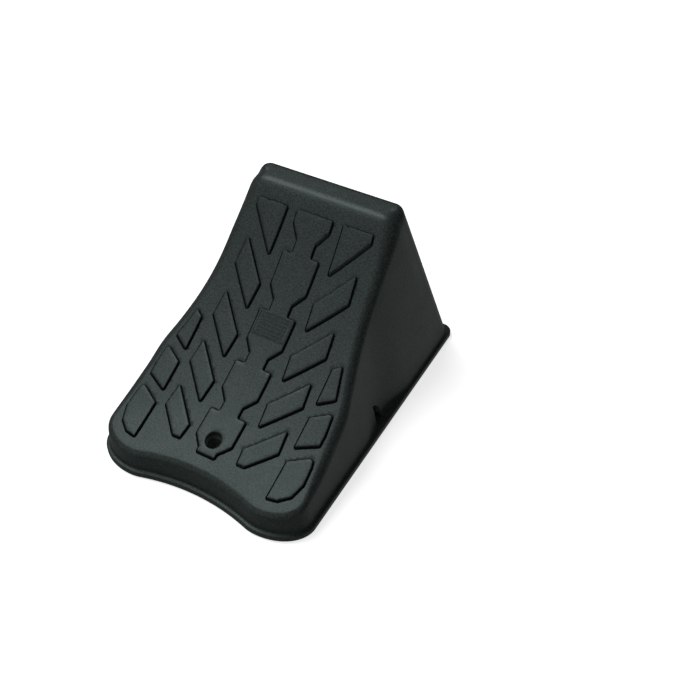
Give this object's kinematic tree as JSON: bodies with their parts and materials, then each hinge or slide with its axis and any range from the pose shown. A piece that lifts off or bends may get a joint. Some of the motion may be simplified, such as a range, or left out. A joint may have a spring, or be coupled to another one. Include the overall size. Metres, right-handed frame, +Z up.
{
  "type": "wheel chock",
  "caption": "Moulded plastic wheel chock: concave tyre ramp with raised tread plates, flanged foot with a two-lobed toe, stake hole and rope slots, rubber grip feet.",
  "frame": {"origin": "centre of the footprint, on the ground", "axes": "+Z up, toe towards -Y, back wall towards +Y, +X to the right when looking from the toe towards the back"},
  "size_m": [0.19, 0.268, 0.1573],
  "materials": {
    "moulded_plastic": "fine matt grain, near-black with a faint grey-green cast",
    "foot_rubber": "matt moulded rubber"
  },
  "bodies": {
    "root": {"chock_shell": "moulded_plastic", "grip_foot_toe_left": "foot_rubber", "grip_foot_toe_right": "foot_rubber", "grip_foot_mid_left": "foot_rubber", "grip_foot_mid_right": "foot_rubber", "grip_foot_rear_left": "foot_rubber", "grip_foot_rear_right": "foot_rubber"}
  },
  "joints": []
}
